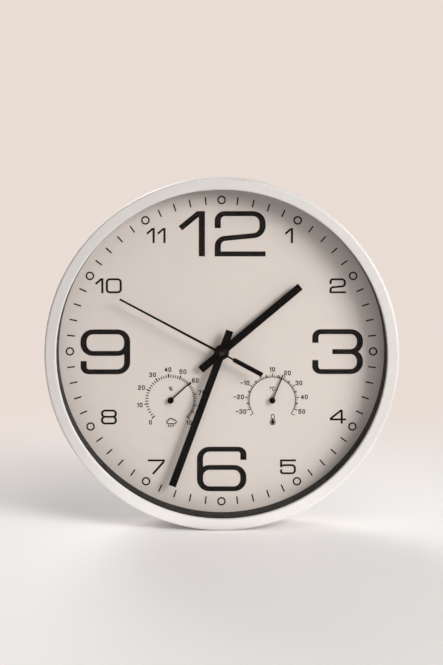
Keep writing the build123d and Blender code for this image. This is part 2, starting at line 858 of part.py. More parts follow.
def hour_wheel():
    """Hour wheel on its pipe, which carries the hour hand."""
    wheel = toothed(hour_module, hour_teeth, hour_wheel_back, hour_wheel_front, axis_place, hour_wheel_phase)
    wheel += disc(hour_pipe_diameter, hour_wheel_back, hour_hand_front)
    return wheel - disc(hour_pipe_bore, hour_wheel_back - cut_overrun, hour_hand_front + cut_overrun)


def setting_knob():
    """Knurled knob behind the movement, with a gear on the minute wheel."""
    knob_front = movement_back - hole_gap
    knob_back = knob_front - knob_thickness
    knob = disc(knob_diameter, knob_back, knob_front, knob_place)
    groove = disc(2 * knurl_depth, knob_back - cut_overrun, knob_front + cut_overrun)
    for place in PolarLocations(knob_diameter / 2, knurl_count):
        knob -= Pos(*knob_place, 0) * place * groove
    gear_back = minute_wheel_back - layer_gap
    gear_front = minute_wheel_front + layer_gap
    knob += disc(knob_shaft_diameter, knob_front, gear_back, knob_place)
    knob += toothed(setting_module, knob_teeth, gear_back, gear_front, knob_place, knob_phase)
    return knob + disc(arbor_diameter, gear_front, arbor_front, knob_place)


def hand_bar(length, tail, width, back):
    """Straight flat bar from a tail below the axis to a tip above it."""
    return block(width, length + tail, back, back + hand_thickness, (0, (length - tail) / 2))


def pipe_hand(length, tail, hub, back, pipe):
    """Flat hand with a round hub and a collet, bored for the pipe it is pushed on."""
    hand = hand_bar(length, tail, hand_width, back) + disc(hub, back, back + hand_thickness)
    collet_back = back - collet_height
    hand += disc(pipe + 2 * collet_wall, collet_back, back)
    return hand - disc(pipe + 2 * push_gap, collet_back - cut_overrun, back + hand_thickness + cut_overrun)


def hour_hand():
    length = lip_radius - hour_tip_gap
    hand = pipe_hand(length, hour_tail, hour_hub_diameter, hour_hand_back, hour_pipe_diameter)
    return at_rest(hand, hour_angle)


def minute_hand():
    length = lip_radius - minute_tip_gap
    hand = pipe_hand(length, minute_tail, minute_hub_diameter, minute_hand_back, cannon_diameter)
    return at_rest(hand, minute_angle)


def second_hand():
    """Thin needle with a counterweight bar and a domed cap over the end of the arbor."""
    hand = hand_bar(lip_radius - second_tip_gap, second_tail, second_width, second_hand_back)
    weight_length = second_tail - second_neck
    weight_place = (0, -second_neck - weight_length / 2)
    hand += block(second_weight_width, weight_length, second_hand_back, second_hand_front, weight_place)
    collet_back = second_hand_back - collet_height
    hand += disc(second_arbor_diameter + 2 * collet_wall, collet_back, second_hand_back)
    radius = cap_diameter / 2
    rim_front = second_hand_front + cap_edge
    crown_radius = (radius**2 + cap_crown**2) / (2 * cap_crown)
    top = (0, rim_front + cap_crown)
    rim = (radius, rim_front)
    cap_sides = Polyline(top, (0, second_hand_back), (radius, second_hand_back), rim)
    hand += turned(RadiusArc(rim, top, -crown_radius), cap_sides)
    bore = second_arbor_diameter + 2 * push_gap
    hand -= disc(bore, collet_back - cut_overrun, second_hand_front + push_gap)
    return at_rest(hand, second_angle)


def needle(angle, place):
    """Gauge pointer with its hub, on the arbor that the coil turns."""
    hub_back = dial_front + needle_rise
    pointer_back = hub_back + (needle_hub_height - needle_thickness) / 2
    pointer_front = pointer_back + needle_thickness
    pointer = block(needle_width, needle_length, pointer_back, pointer_front, (0, needle_length / 2))
    hub = disc(needle_hub_diameter, hub_back, hub_back + needle_hub_height)
    arbor = disc(needle_arbor_diameter, needle_seat + running_gap, hub_back)
    collet = disc(2 * (strip_start_radius - running_gap), strip_back, strip_back + strip_height)
    return at_rest(pointer + hub + arbor + collet, angle, place)


def gauge_coil(place):
    """Flat spiral strip of half circles that curls with the weather and turns the needle."""
    edges = []
    for turn in range(strip_half_turns):
        side = 1 if turn % 2 == 0 else -1
        middle = 0 if side > 0 else strip_pitch / 2
        for face in (0, strip_thickness):
            radius = strip_start_radius + turn * strip_pitch / 2 + face
            ends = ((middle + side * radius, 0), (middle - side * radius, 0))
            edges.append(ThreePointArc(ends[0], (middle, side * radius), ends[1]))
    end_radius = strip_start_radius + strip_half_turns * strip_pitch / 2
    for start in (strip_start_radius, end_radius):
        edges.append(Line((start, 0), (start + strip_thickness, 0)))
    return Pos(*place, strip_back) * extrude(make_face(edges), strip_height)


def gauge_housing(place):
    """Vented drum behind the back plate, with the arbor's bearing and the post of the coil."""
    inside = 2 * (housing_radius - housing_wall)
    drum = disc(2 * housing_radius, housing_back, plate_back)
    drum -= disc(inside, housing_back + housing_wall, plate_back)
    vent = Pos(0, 0, housing_back - cut_overrun) * extrude(
        SlotOverall(vent_length, vent_width), housing_wall + 2 * cut_overrun
    )
    for location in PolarLocations(vent_reach, vent_count):
        drum -= location * vent
    drum -= disc(needle_arbor_diameter + 2 * running_gap, needle_seat, plate_back)
    post_inner = coil_reach + running_gap
    post_outer = housing_radius - housing_wall / 2
    post_middle = ((post_inner + post_outer) / 2, 0)
    post_front = strip_back + strip_height
    drum += block(post_outer - post_inner, post_width, housing_back + housing_wall, post_front, post_middle)
    return Pos(*place, 0) * drum


pieces = {
    "front_frame": front_frame(),
    "glass_lens": disc(2 * fitted_radius, glass_back, glass_front),
    "inner_ring": inner_ring(),
    "dial": dial(),
    "back_plate": back_plate(),
    "back_screws": back_screws(),
    "wall_hanger": wall_hanger(),
    "hanger_screws": hanger_screws(),
    "movement_base": movement_base(),
    "movement_lid": movement_lid(),
    "centre_bushing": centre_bushing(),
    "movement_washer": movement_washer(),
    "movement_nut": movement_nut(),
    "battery_cell": battery_cell(),
    "positive_contact": contact(1),
    "negative_contact": contact(-1),
    "circuit_board": circuit_board(),
    "quartz_crystal": quartz_crystal(),
    "drive_chip": drive_chip(),
    "motor_coil": motor_coil(),
    "coil_core": coil_core(),
    "stator": stator(),
    "rotor": rotor(),
    "fifth_wheel": fifth_wheel(),
    "second_wheel": second_wheel(),
    "third_wheel": third_wheel(),
    "centre_wheel": centre_wheel(),
    "clutch_spring": clutch_spring(),
    "cannon_pinion": cannon_pinion(),
    "minute_wheel": minute_wheel(),
    "hour_wheel": hour_wheel(),
    "setting_knob": setting_knob(),
    "hour_hand": hour_hand(),
    "minute_hand": minute_hand(),
    "second_hand": second_hand(),
    "thermometer_needle": needle(thermometer_angle, thermometer_place),
    "thermometer_coil": gauge_coil(thermometer_place),
    "thermometer_housing": gauge_housing(thermometer_place),
    "hygrometer_needle": needle(hygrometer_angle, hygrometer_place),
    "hygrometer_coil": gauge_coil(hygrometer_place),
    "hygrometer_housing": gauge_housing(hygrometer_place),
}

# The clock stands upright in its own frame: Z up, its front towards -Y, its back on the plane Y = 0
os.makedirs("parts", exist_ok=True)
for name, piece in pieces.items():
    export_step(Plane.XZ * piece, f"parts/{name}.step")
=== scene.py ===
import bmesh
import bpy
import json
from collections import namedtuple
from math import atan2, cos, pi, radians, sin, tan
from mathutils import Matrix, Vector
from mathutils.geometry import delaunay_2d_cdt


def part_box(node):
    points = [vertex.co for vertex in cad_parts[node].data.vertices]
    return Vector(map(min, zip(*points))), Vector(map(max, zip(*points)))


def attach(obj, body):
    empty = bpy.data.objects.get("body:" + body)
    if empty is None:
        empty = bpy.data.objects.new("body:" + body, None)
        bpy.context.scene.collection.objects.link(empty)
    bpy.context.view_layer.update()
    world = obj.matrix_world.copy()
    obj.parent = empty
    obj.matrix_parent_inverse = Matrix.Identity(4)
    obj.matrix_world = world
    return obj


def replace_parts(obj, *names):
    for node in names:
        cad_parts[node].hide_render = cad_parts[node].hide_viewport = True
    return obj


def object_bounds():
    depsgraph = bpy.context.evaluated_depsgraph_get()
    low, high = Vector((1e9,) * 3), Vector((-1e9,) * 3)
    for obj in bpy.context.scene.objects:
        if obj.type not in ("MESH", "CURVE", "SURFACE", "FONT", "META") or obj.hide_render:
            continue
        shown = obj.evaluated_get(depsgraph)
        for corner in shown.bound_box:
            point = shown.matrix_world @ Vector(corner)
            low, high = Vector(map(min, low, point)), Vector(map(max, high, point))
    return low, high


# Wall clock: materials, the print on its dial, small details, studio and camera
# Lengths are in metres; angles are in degrees, on the dial clockwise from twelve
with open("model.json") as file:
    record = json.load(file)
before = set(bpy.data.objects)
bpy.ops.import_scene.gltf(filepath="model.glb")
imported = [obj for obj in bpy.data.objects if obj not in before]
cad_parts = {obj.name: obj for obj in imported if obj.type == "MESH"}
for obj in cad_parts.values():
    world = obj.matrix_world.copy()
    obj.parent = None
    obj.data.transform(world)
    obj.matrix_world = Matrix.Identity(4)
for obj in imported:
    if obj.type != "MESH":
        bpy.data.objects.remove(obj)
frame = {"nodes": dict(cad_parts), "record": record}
cad_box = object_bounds()
nodes = frame["nodes"]
dial_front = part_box("dial")[0].y

Type = namedtuple("Type", "width height gap pen corner")
Disc = namedtuple("Disc", "x z radius")
Lamp = namedtuple("Lamp", "place aim size watts colour")
common_spread = 0.06
common_specular = 0.5
Finish = namedtuple(
    "Finish",
    "colour roughness grain bump spread specular metallic",
    defaults=(common_spread, common_specular, 0.0),
)

# Camera, placed from the middle of the lip
lens_mm = 63.02
sensor_mm = 36.0
eye_distance = 0.9922
eye_elevation = 10.295
eye_side = -0.0118
aim_drop = 2.278
frame_shift_shares = (0.0206, -0.2119)

# Studio
floor_reach = 12.0
floor_finish = Finish(colour=(0.90, 0.885, 0.87), roughness=0.8, grain=0.002, bump=0.05, spread=0.01)
floor_glow = (0.08, 0.075, 0.08)
fade_centre = -0.35
fade_start = 0.38
fade_end = 0.85
backdrop_colour = (0.82, 0.72, 0.66)
world_colour = (1.0, 0.985, 0.97)
world_strength = 0.10
lamps = {
    "key": Lamp(
        place=(1.440, -1.162, 0.800),
        aim=(0.0, -0.042, 0.0),
        size=(0.86, 0.86),
        watts=30.8,
        colour=(1.0, 0.985, 0.965),
    ),
    "top": Lamp(
        place=(0.296, -0.682, 1.432),
        aim=(0.0, -0.042, 0.0),
        size=(1.0, 1.0),
        watts=5.5,
        colour=(1.0, 0.985, 0.965),
    ),
    "strip": Lamp(
        place=(0.02, -0.10, -0.149),
        aim=(0.02, -0.10, 0.0),
        size=(0.30, 0.10),
        watts=0.082,
        colour=(1.0, 1.0, 1.0),
    ),
    "back": Lamp(
        place=(-0.7, 1.3, 0.8),
        aim=(0.0, 0.0, 0.0),
        size=(1.0, 1.0),
        watts=16.0,
        colour=(1.0, 0.99, 0.98),
    ),
}

# Materials
cloud_grains = 60.0
gloss_spread = 0.05
relief_share = 0.2
glass_colour = (0.985, 0.995, 0.99)
glass_ior = 1.1
finishes = {
    "case_white": Finish(colour=(0.76, 0.735, 0.715), roughness=0.42, grain=0.0005, bump=0.12, spread=0.02),
    "ring_black": Finish(
        colour=(0.008, 0.0070, 0.0065),
        roughness=0.45,
        grain=0.0005,
        bump=0.1,
        specular=0.1,
    ),
    "dial_print": Finish(
        colour=(0.685, 0.612, 0.572),
        roughness=0.62,
        grain=0.0003,
        bump=0.15,
        spread=0.02,
        specular=0.3,
    ),
    "plate_plastic": Finish(colour=(0.72, 0.71, 0.69), roughness=0.5, grain=0.0008, bump=0.25, spread=0.04),
    "screw_steel": Finish(colour=(0.62, 0.62, 0.63), roughness=0.34, grain=0.0003, bump=0.2, metallic=1.0),
    "movement_plastic": Finish(colour=(0.03, 0.03, 0.033), roughness=0.48, grain=0.0006, bump=0.3),
    "bushing_brass": Finish(colour=(0.72, 0.52, 0.22), roughness=0.3, grain=0.0003, bump=0.15, metallic=1.0),
    "cell_wrap": Finish(colour=(0.045, 0.05, 0.07), roughness=0.28, grain=0.0008, bump=0.08),
    "cell_band": Finish(colour=(0.50, 0.50, 0.52), roughness=0.25, grain=0.0008, bump=0.08),
    "contact_steel": Finish(colour=(0.7, 0.69, 0.66), roughness=0.3, grain=0.0003, bump=0.15, metallic=1.0),
    "board_laminate": Finish(colour=(0.05, 0.16, 0.06), roughness=0.4, grain=0.0004, bump=0.2, spread=0.15),
    "chip_black": Finish(colour=(0.02, 0.02, 0.02), roughness=0.55, grain=0.0003, bump=0.3),
    "coil_copper": Finish(colour=(0.6, 0.22, 0.08), roughness=0.32, grain=0.0002, bump=0.4, metallic=1.0),
    "motor_iron": Finish(colour=(0.4, 0.4, 0.42), roughness=0.4, grain=0.0003, bump=0.2, metallic=1.0),
    "rotor_magnet": Finish(colour=(0.1, 0.1, 0.105), roughness=0.5, grain=0.0004, bump=0.3, metallic=0.6),
    "wheel_acetal": Finish(colour=(0.78, 0.75, 0.66), roughness=0.4, grain=0.0004, bump=0.12),
    "knob_plastic": Finish(colour=(0.74, 0.73, 0.7), roughness=0.45, grain=0.0004, bump=0.2),
    "hand_black": Finish(
        colour=(0.0035, 0.0026, 0.0025),
        roughness=0.38,
        grain=0.0003,
        bump=0.08,
        specular=0.05,
    ),
    "cap_black": Finish(colour=(0.004, 0.0035, 0.0035), roughness=0.14, grain=0.0003, bump=0.02),
    "gauge_strip": Finish(colour=(0.62, 0.48, 0.26), roughness=0.3, grain=0.0003, bump=0.2, metallic=1.0),
    "gauge_plastic": Finish(colour=(0.7, 0.69, 0.66), roughness=0.5, grain=0.0006, bump=0.25),
    "ink_black": Finish(
        colour=(0.0075, 0.0055, 0.0048),
        roughness=0.6,
        grain=0.0003,
        bump=0.1,
        specular=0.1,
    ),
    "ink_grey": Finish(
        colour=(0.06, 0.055, 0.052),
        roughness=0.6,
        grain=0.0003,
        bump=0.1,
        specular=0.1,
    ),
}

# Turns
full_turn = 360.0
quarter_turn = 90.0

# Ink on the dial
ink_height = 0.00005
corner_steps = 8
corner_room_share = 0.48
circle_steps = 40
cdt_scale = 1000.0
cdt_tolerance = 0.0001
merge_distance = 0.000002

# Numbers round the dial
hour_type = Type(width=0.0428, height=0.0389, gap=0.0083, pen=(0.0053, 0.0043), corner=0.0082)
small_type = Type(width=0.0138, height=0.0129, gap=0.0020, pen=(0.0019, 0.0017), corner=0.0026)
hour_places = {
    "12": (0.0005, 0.1015),
    "3": (0.1000, -0.0002),
    "6": (0.0002, -0.1023),
    "9": (-0.1000, -0.0004),
}
small_places = {
    "1": (0.0577, 0.0999),
    "2": (0.0998, 0.0567),
    "4": (0.0999, -0.0563),
    "5": (0.0575, -0.1004),
    "7": (-0.0563, -0.1004),
    "8": (-0.0971, -0.0570),
    "10": (-0.0972, 0.0567),
    "11": (-0.0563, 0.1000),
}

# Minute track
minute_count = 60
hour_step = 5
track_radius = 0.1305
hour_ring_radius = 0.00305
hour_ring_stroke = 0.0013
tick_start = 0.1269
tick_end = 0.1336
tick_width = 0.0012

# Gauge scales
label_type = Type(width=0.0026, height=0.0041, gap=0.0007, pen=(0.0008, 0.0008), corner=0.0010)
unit_type = Type(width=0.0035, height=0.0036, gap=0.0005, pen=(0.0006, 0.0006), corner=0.0011)
label_radius = 0.0246
low_label_share = 0.5
unit_rise = 0.0099
percent_width = 0.00084
ten_percent_width = 0.00110
degree_width = 0.00074
ten_degree_width = 0.00095
humidity_start = 0.0194
humidity_end = 0.0219
humidity_ten_end = 0.0229
percent_step = 2
label_step = 10
full_percent = 100
dry_turn = -134.5
dry_slope = 362.0
dry_bend = -96.0
even_percent = 60
even_turn = 50.4
even_step = 2.56
dense_percent = 80
dense_step = 1.68
dense_count = 8
low_degree = -30
high_degree = 50
middle_step = 5
small_step = 2
degree_turn = 2.8
upright_degree = 10
arc_radius = 0.0200
arc_half_turn = 125.0
arc_steps = 125
two_end = 0.0218
five_end = 0.0226
ten_end = 0.0233

# Signs below the gauges
cloud_offset = (0.0005, -0.0189)
cloud_discs = (
    Disc(x=-0.0024, z=-0.0001, radius=0.0016),
    Disc(x=-0.0003, z=0.0008, radius=0.0022),
    Disc(x=0.0024, z=0.0, radius=0.0018),
)
cloud_base = -0.0017
cloud_pen = 0.0009
rain_top = -0.0026
rain_length = 0.0021
rain_pitch = 0.0019
rain_count = 3
rain_turn = 200.0
bulb_offset = (0.0004, -0.0193)
bulb_radius = 0.0022
stem_radius = 0.0013
stem_rise = 0.0056
sign_pen = 0.0007
column_gap = 0.0003
column_rise = 0.0030

# Screw heads
screw_head_radius = 0.0026
screw_head_height = 0.0016
screw_rim_share = 0.35
screw_radius = 0.0012
recess_width = 0.0007
recess_length = 0.0030
recess_depth = 0.0009
recess_arms = 4
screw_steps = 24
dome_steps = 6
screw_count = 6

# Tapered blade of the second hand, with its angle at rest
blade_angle = 298.1
blade_root = 0.0030
blade_root_width = 0.0021
blade_tip_width = 0.00155
blade_cover = 0.00005
blade_thickness = 0.0006
cap_height = 0.0023

# Rivet in the cap of the hands
rivet_radius = 0.0019
rivet_height = 0.0008
rivet_seat = 0.0002
rivet_steps = 32

# Marks moulded on the movement's rear wall
mark_size = 0.0042
mark_pen = 0.0009
mark_relief = 0.0003
mark_rise = 0.0040
mark_inset = 0.0075
arrow_gap = 0.0022
arrow_middle = 225.0
arrow_half_turn = 38.0
arrow_length = 0.0026
arrow_half_width = 0.0017

# Wrap of the cell
wrap_steps = 64
wrap_thickness = 0.00012
wrap_edge = 0.00006
wrap_start = 0.0010
wrap_end = 0.0027
band_length = 0.0100


def line(*points):
    return False, points


def loop(*points):
    return True, points


# Centre lines of the signs in shares of the sign's box; a third entry is a share of the corner's radius
sign_lines = {
    "0": [loop((0, 0), (1, 0), (1, 1), (0, 1))],
    "1": [line((1, 0), (1, 1))],
    "2": [line((0, 0.64), (0, 1), (1, 1), (1, 0.474), (0, 0.369), (0, 0, 0), (1, 0))],
    "3": [
        line((0, 0.72), (0, 1), (1, 1), (1, 0.5), (0.38, 0.5)),
        line((0.38, 0.5), (1, 0.5), (1, 0), (0, 0), (0, 0.29)),
    ],
    "4": [line((1, 0.25), (0, 0.25, 0.2), (0.79, 1, 0.2), (0.79, 0))],
    "5": [
        line((1, 1), (0, 1, 0), (0, 0.53)),
        line((0, 0.55), (0.18, 0.63), (1, 0.63), (1, 0), (0, 0), (0, 0.3)),
    ],
    "6": [loop((0, 0), (1, 0), (1, 0.54), (0, 0.54)), line((0, 0.3), (0, 1), (1, 1), (1, 0.73))],
    "7": [line((0, 1), (1, 1, 0), (1, 0.9, 0.4), (0.31, 0))],
    "8": [loop((0, 0), (1, 0), (1, 0.52), (0, 0.52)), loop((0, 0.52), (1, 0.52), (1, 1), (0, 1))],
    "9": [loop((0, 0.46), (1, 0.46), (1, 1), (0, 1)), line((1, 0.7), (1, 0), (0, 0), (0, 0.27))],
    "-": [line((0, 0.5), (1, 0.5))],
    "%": [
        loop((0, 0.6), (0.4, 0.6), (0.4, 1), (0, 1)),
        loop((0.6, 0), (1, 0), (1, 0.4), (0.6, 0.4)),
        line((0.15, 0), (0.85, 1)),
    ],
    "o": [loop((0, 0.62), (1, 0.62), (1, 1), (0, 1))],
    "C": [line((1, 0.72), (1, 1), (0, 1), (0, 0), (1, 0), (1, 0.28))],
}
width_shares = {
    "1": 0.528,
    "2": 1.022,
    "3": 1.022,
    "4": 1.10,
    "7": 1.07,
    "-": 0.95,
    "o": 0.42,
    "C": 0.68,
}
flag_foot_share = 0.668
flag_top_share = 0.3


def heading(angle):
    """Direction on the dial, clockwise from twelve."""
    return Vector((sin(radians(angle)), cos(radians(angle))))


def left_of(direction):
    return Vector((-direction.y, direction.x))


def in_pens(x, y, pen):
    """Vector in widths and heights of the pen."""
    return Vector((x / pen[0], y / pen[1]))


def by_pen(vector, pen):
    """Vector given in widths and heights of the pen, as lengths."""
    return Vector((vector.x * pen[0], vector.y * pen[1]))


def rounded(points, closed, radius):
    """Path with each inner corner rounded by its share of the radius."""
    path = []
    for index, (here, share) in enumerate(points):
        if not share or not closed and index in (0, len(points) - 1):
            path.append(here)
            continue
        arriving = here - points[index - 1][0]
        leaving = points[(index + 1) % len(points)][0] - here
        into = arriving.normalized()
        onward = leaving.normalized()
        turn = atan2(into.x * onward.y - into.y * onward.x, into.dot(onward))
        half_turn = tan(abs(turn) / 2)
        room = corner_room_share * min(arriving.length, leaving.length)
        reach = min(share * radius * half_turn, room)
        start = here - reach * into
        side = 1 if turn > 0 else -1
        spoke = -side * reach / half_turn * left_of(into)
        for step in range(corner_steps + 1):
            swept = spoke.copy()
            swept.rotate(Matrix.Rotation(turn * step / corner_steps, 2))
            path.append(start - spoke + swept)
    return path


def stroke(path, closed, pen):
    """Quads that cover a path drawn with a pen of that width and height."""
    scaled = [in_pens(point.x, point.y, pen) for point in path]
    spans = [(b - a).normalized() for a, b in zip(scaled, scaled[1:] + scaled[:1])]
    sides = []
    for index, here in enumerate(scaled):
        before = left_of(spans[index - 1])
        after = left_of(spans[index])
        if not closed and index == 0:
            before = after
        if not closed and index == len(scaled) - 1:
            after = before
        half = (before + after) / (1 + before.dot(after)) / 2
        sides.append((by_pen(here + half, pen), by_pen(here - half, pen)))
    following = sides[1:] + sides[:1] if closed else sides[1:]
    return [(a[0], a[1], b[1], b[0]) for a, b in zip(sides, following)]


def lengthened(point, neighbour, shares, neighbour_shares, pen):
    """End of an open line, moved on by half the pen where it meets its box."""
    steps = [here - there for here, there in zip(shares, neighbour_shares)]
    main = 0 if abs(steps[0]) > abs(steps[1]) else 1
    if shares[main] not in (0, 1):
        return point
    way = in_pens(point.x - neighbour.x, point.y - neighbour.y, pen).normalized() / 2
    return point + by_pen(way, pen)


def flag(corner, width, style):
    """Slanting flag of the number one."""
    pen = style.pen[0]
    bar_left = corner.x + width - pen
    top = corner.y + style.height
    foot = Vector((corner.x, corner.y + flag_foot_share * style.height))
    tip = Vector((bar_left - flag_top_share * pen, top))
    along = (tip - foot).normalized()
    under = foot - sum(style.pen) / 2 * left_of(along)
    if under.x < bar_left:
        lower = (under, under + (bar_left - under.x) / along.x * along)
    else:
        lower = (Vector((bar_left, foot.y)),)
    inside = bar_left + pen / 2
    return (tip, foot, *lower, Vector((inside, lower[-1].y)), Vector((inside, top)))


def sign(name, corner, width, style):
    """Polygons of one sign in a box of the style's height."""
    room = Vector((width - style.pen[0], style.height - style.pen[1]))
    inner = corner + Vector(style.pen) / 2
    polygons = [flag(corner, width, style)] if name == "1" else []
    for closed, shares in sign_lines[name]:
        points = [inner + Vector((room.x * share[0], room.y * share[1])) for share in shares]
        if not closed:
            first = lengthened(points[0], points[1], shares[0], shares[1], style.pen)
            last = lengthened(points[-1], points[-2], shares[-1], shares[-2], style.pen)
            points = [first] + points[1:-1] + [last]
        roundings = [share[2] if len(share) > 2 else 1 for share in shares]
        path = rounded(list(zip(points, roundings)), closed, style.corner)
        polygons += stroke(path, closed, style.pen)
    return polygons


def text_size(words, style):
    widths = [style.width * width_shares.get(name, 1) for name in words]
    return widths, sum(widths) + style.gap * (len(words) - 1)


def text(words, centre, style):
    """Polygons of upright signs round a centre."""
    widths, total = text_size(words, style)
    corner = Vector(centre) - Vector((total, style.height)) / 2
    polygons = []
    for name, width in zip(words, widths):
        polygons += sign(name, corner, width, style)
        corner = corner + Vector((width + style.gap, 0))
    return polygons


def circle(centre, radius):
    turns = [full_turn * step / circle_steps for step in range(circle_steps)]
    return [Vector(centre) + radius * heading(turn) for turn in turns]


def ring(centre, radius, width):
    return stroke(circle(centre, radius), True, (width, width))


def bar(centre, angle, start, end, width):
    """Radial bar between two distances from a centre."""
    way = heading(angle)
    side = width / 2 * left_of(way)
    near = Vector(centre) + start * way
    far = Vector(centre) + end * way
    return (near - side, far - side, far + side, near + side)


def counter_clockwise(polygon):
    area = sum(a.x * b.y - a.y * b.x for a, b in zip(polygon, polygon[1:] + polygon[:1]))
    return polygon if area > 0 else polygon[::-1]


def placed(name, data):
    """Object with that data, in the scene."""
    item = bpy.data.objects.new(name, data)
    bpy.context.scene.collection.objects.link(item)
    return item


def meshed(name, bm):
    """Mesh of a finished shape."""
    mesh = bpy.data.meshes.new(name)
    bm.to_mesh(mesh)
    bm.free()
    return mesh


def piece(name, mesh, look, body="clock"):
    """Object of a mesh without doubled or loose corners, riding on a body."""
    shape = placed(name, mesh)
    mesh.materials.append(materials[look])
    bm = bmesh.new()
    bm.from_mesh(mesh)
    bmesh.ops.remove_doubles(bm, verts=bm.verts, dist=merge_distance)
    loose = [vertex for vertex in bm.verts if not vertex.link_faces]
    bmesh.ops.delete(bm, geom=loose, context="VERTS")
    bm.to_mesh(mesh)
    bm.free()
    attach(shape, body)
    return shape


def raised(name, polygons, base, height, look, cuts=(), body="clock"):
    """Closed piece over the joined polygons less the cuts, from y = base forward by the height."""
    corners = []
    outlines = []
    for polygon in [*polygons, *cuts]:
        start = len(corners)
        corners += [cdt_scale * corner for corner in counter_clockwise(list(polygon))]
        outlines.append(list(range(start, len(corners))))
    flat = delaunay_2d_cdt(corners, [], outlines, 0, cdt_tolerance)
    points = [corner / cdt_scale for corner in flat[0]]
    kept = []
    for triangle, owners in zip(flat[2], flat[5]):
        if owners and max(owners) < len(polygons):
            kept.append(tuple(triangle))
    size = len(points)
    front = [(point.x, base - height, point.y) for point in points]
    back = [(point.x, base, point.y) for point in points]
    faces = kept + [tuple(size + corner for corner in reversed(triangle)) for triangle in kept]
    edges = {edge for a, b, c in kept for edge in ((a, b), (b, c), (c, a))}
    faces += [(a, a + size, b + size, b) for a, b in sorted(edges) if (b, a) not in edges]
    mesh = bpy.data.meshes.new(name)
    mesh.from_pydata(front + back, [], faces)
    piece(name, mesh, look, body)


def noise(tree, place, size):
    """Socket of a noise with features of that size."""
    node = tree.nodes.new("ShaderNodeTexNoise")
    node.inputs["Scale"].default_value = 1 / size
    tree.links.new(place, node.inputs["Vector"])
    return node.outputs["Fac"]


def mixed(tree, share, first, second, output):
    """Mix of two shaders by a share, joined to the output node."""
    mix = tree.nodes.new("ShaderNodeMixShader")
    tree.links.new(share, mix.inputs["Fac"])
    tree.links.new(first, mix.inputs[1])
    tree.links.new(second, mix.inputs[2])
    tree.links.new(mix.outputs["Shader"], tree.nodes[output].inputs["Surface"])


def surface(name, finish):
    """Material with cloudy colour, uneven gloss and a fine grain."""
    material = bpy.data.materials.new(name)
    material.use_nodes = True
    tree = material.node_tree
    shader = tree.nodes["Principled BSDF"]
    shader.inputs["Metallic"].default_value = finish.metallic
    shader.inputs["Specular IOR Level"].default_value = finish.specular
    place = tree.nodes.new("ShaderNodeTexCoord").outputs["Object"]

    dark = [part * (1 - finish.spread) for part in finish.colour]
    light = [min(1, part * (1 + finish.spread)) for part in finish.colour]
    tint = tree.nodes.new("ShaderNodeMix")
    tint.data_type = "RGBA"
    tint.inputs["A"].default_value = (*dark, 1)
    tint.inputs["B"].default_value = (*light, 1)
    tree.links.new(noise(tree, place, cloud_grains * finish.grain), tint.inputs["Factor"])
    tree.links.new(tint.outputs["Result"], shader.inputs["Base Color"])

    fine = noise(tree, place, finish.grain)
    gloss = tree.nodes.new("ShaderNodeMapRange")
    gloss.inputs["To Min"].default_value = finish.roughness - gloss_spread
    gloss.inputs["To Max"].default_value = finish.roughness + gloss_spread
    tree.links.new(fine, gloss.inputs["Value"])
    tree.links.new(gloss.outputs["Result"], shader.inputs["Roughness"])
    relief = tree.nodes.new("ShaderNodeBump")
    relief.inputs["Strength"].default_value = finish.bump
    relief.inputs["Distance"].default_value = finish.grain * relief_share
    tree.links.new(fine, relief.inputs["Height"])
    tree.links.new(relief.outputs["Normal"], shader.inputs["Normal"])
    return material


def clear_glass(name):
    """Clear glass that lets lamp light straight through."""
    material = bpy.data.materials.new(name)
    material.use_nodes = True
    tree = material.node_tree
    shader = tree.nodes["Principled BSDF"]
    shader.inputs["Base Color"].default_value = (*glass_colour, 1)
    shader.inputs["Transmission Weight"].default_value = 1.0
    shader.inputs["IOR"].default_value = glass_ior
    shader.inputs["Roughness"].default_value = 0.0
    clear = tree.nodes.new("ShaderNodeBsdfTransparent")
    shadow = tree.nodes.new("ShaderNodeLightPath").outputs["Is Shadow Ray"]
    mixed(tree, shadow, shader.outputs["BSDF"], clear.outputs["BSDF"], "Material Output")
    return material


def printed(name, polygons, look="ink_black", cuts=()):
    """Ink on the dial's face."""
    raised(name, polygons, dial_front, ink_height, look, cuts)


def middle(node):
    """Middle of a node on the dial's plane."""
    low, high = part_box(node)
    return Vector((low.x + high.x, low.z + high.z)) / 2


def scale_label(words, hub, angle):
    """Number outside a scale, its box held clear of the ticks; low ones hang below."""
    way = heading(angle)
    if way.y < -low_label_share:
        margin = Vector((0, -label_type.height)) / 2
    else:
        total = text_size(words, label_type)[1]
        margin = Vector((way.x * total, way.y * label_type.height)) / 2
    return text(words, hub + label_radius * way + margin, label_type)


def print_numbers():
    for name, places, style in (
        ("print_hour_numbers", hour_places, hour_type),
        ("print_small_numbers", small_places, small_type),
    ):
        polygons = []
        for words, place in places.items():
            polygons += text(words, place, style)
        printed(name, polygons)


def print_track():
    rings = []
    ticks = []
    for minute in range(minute_count):
        angle = full_turn * minute / minute_count
        if minute % hour_step:
            ticks.append(bar((0, 0), angle, tick_start, tick_end, tick_width))
        else:
            rings += ring(track_radius * heading(angle), hour_ring_radius, hour_ring_stroke)
    printed("print_hour_rings", rings)
    printed("print_minute_ticks", ticks)


def humidity_angle(percent):
    """Heading of a humidity: wide steps for dry air, even ones from there, dense ones at the end."""
    if percent < even_percent:
        share = percent / full_percent
        return dry_turn + dry_slope * share + dry_bend * share**2
    even = min(percent, dense_percent) - even_percent
    dense = max(percent, dense_percent) - dense_percent
    return even_turn + even_step * even + dense_step * dense


def humidity_marks():
    """Percentages with a tick, fewer of them at the damp end."""
    percents = list(range(0, dense_percent, percent_step))
    for step in range(dense_count + 1):
        percents.append(dense_percent + (full_percent - dense_percent) * step / dense_count)
    return percents


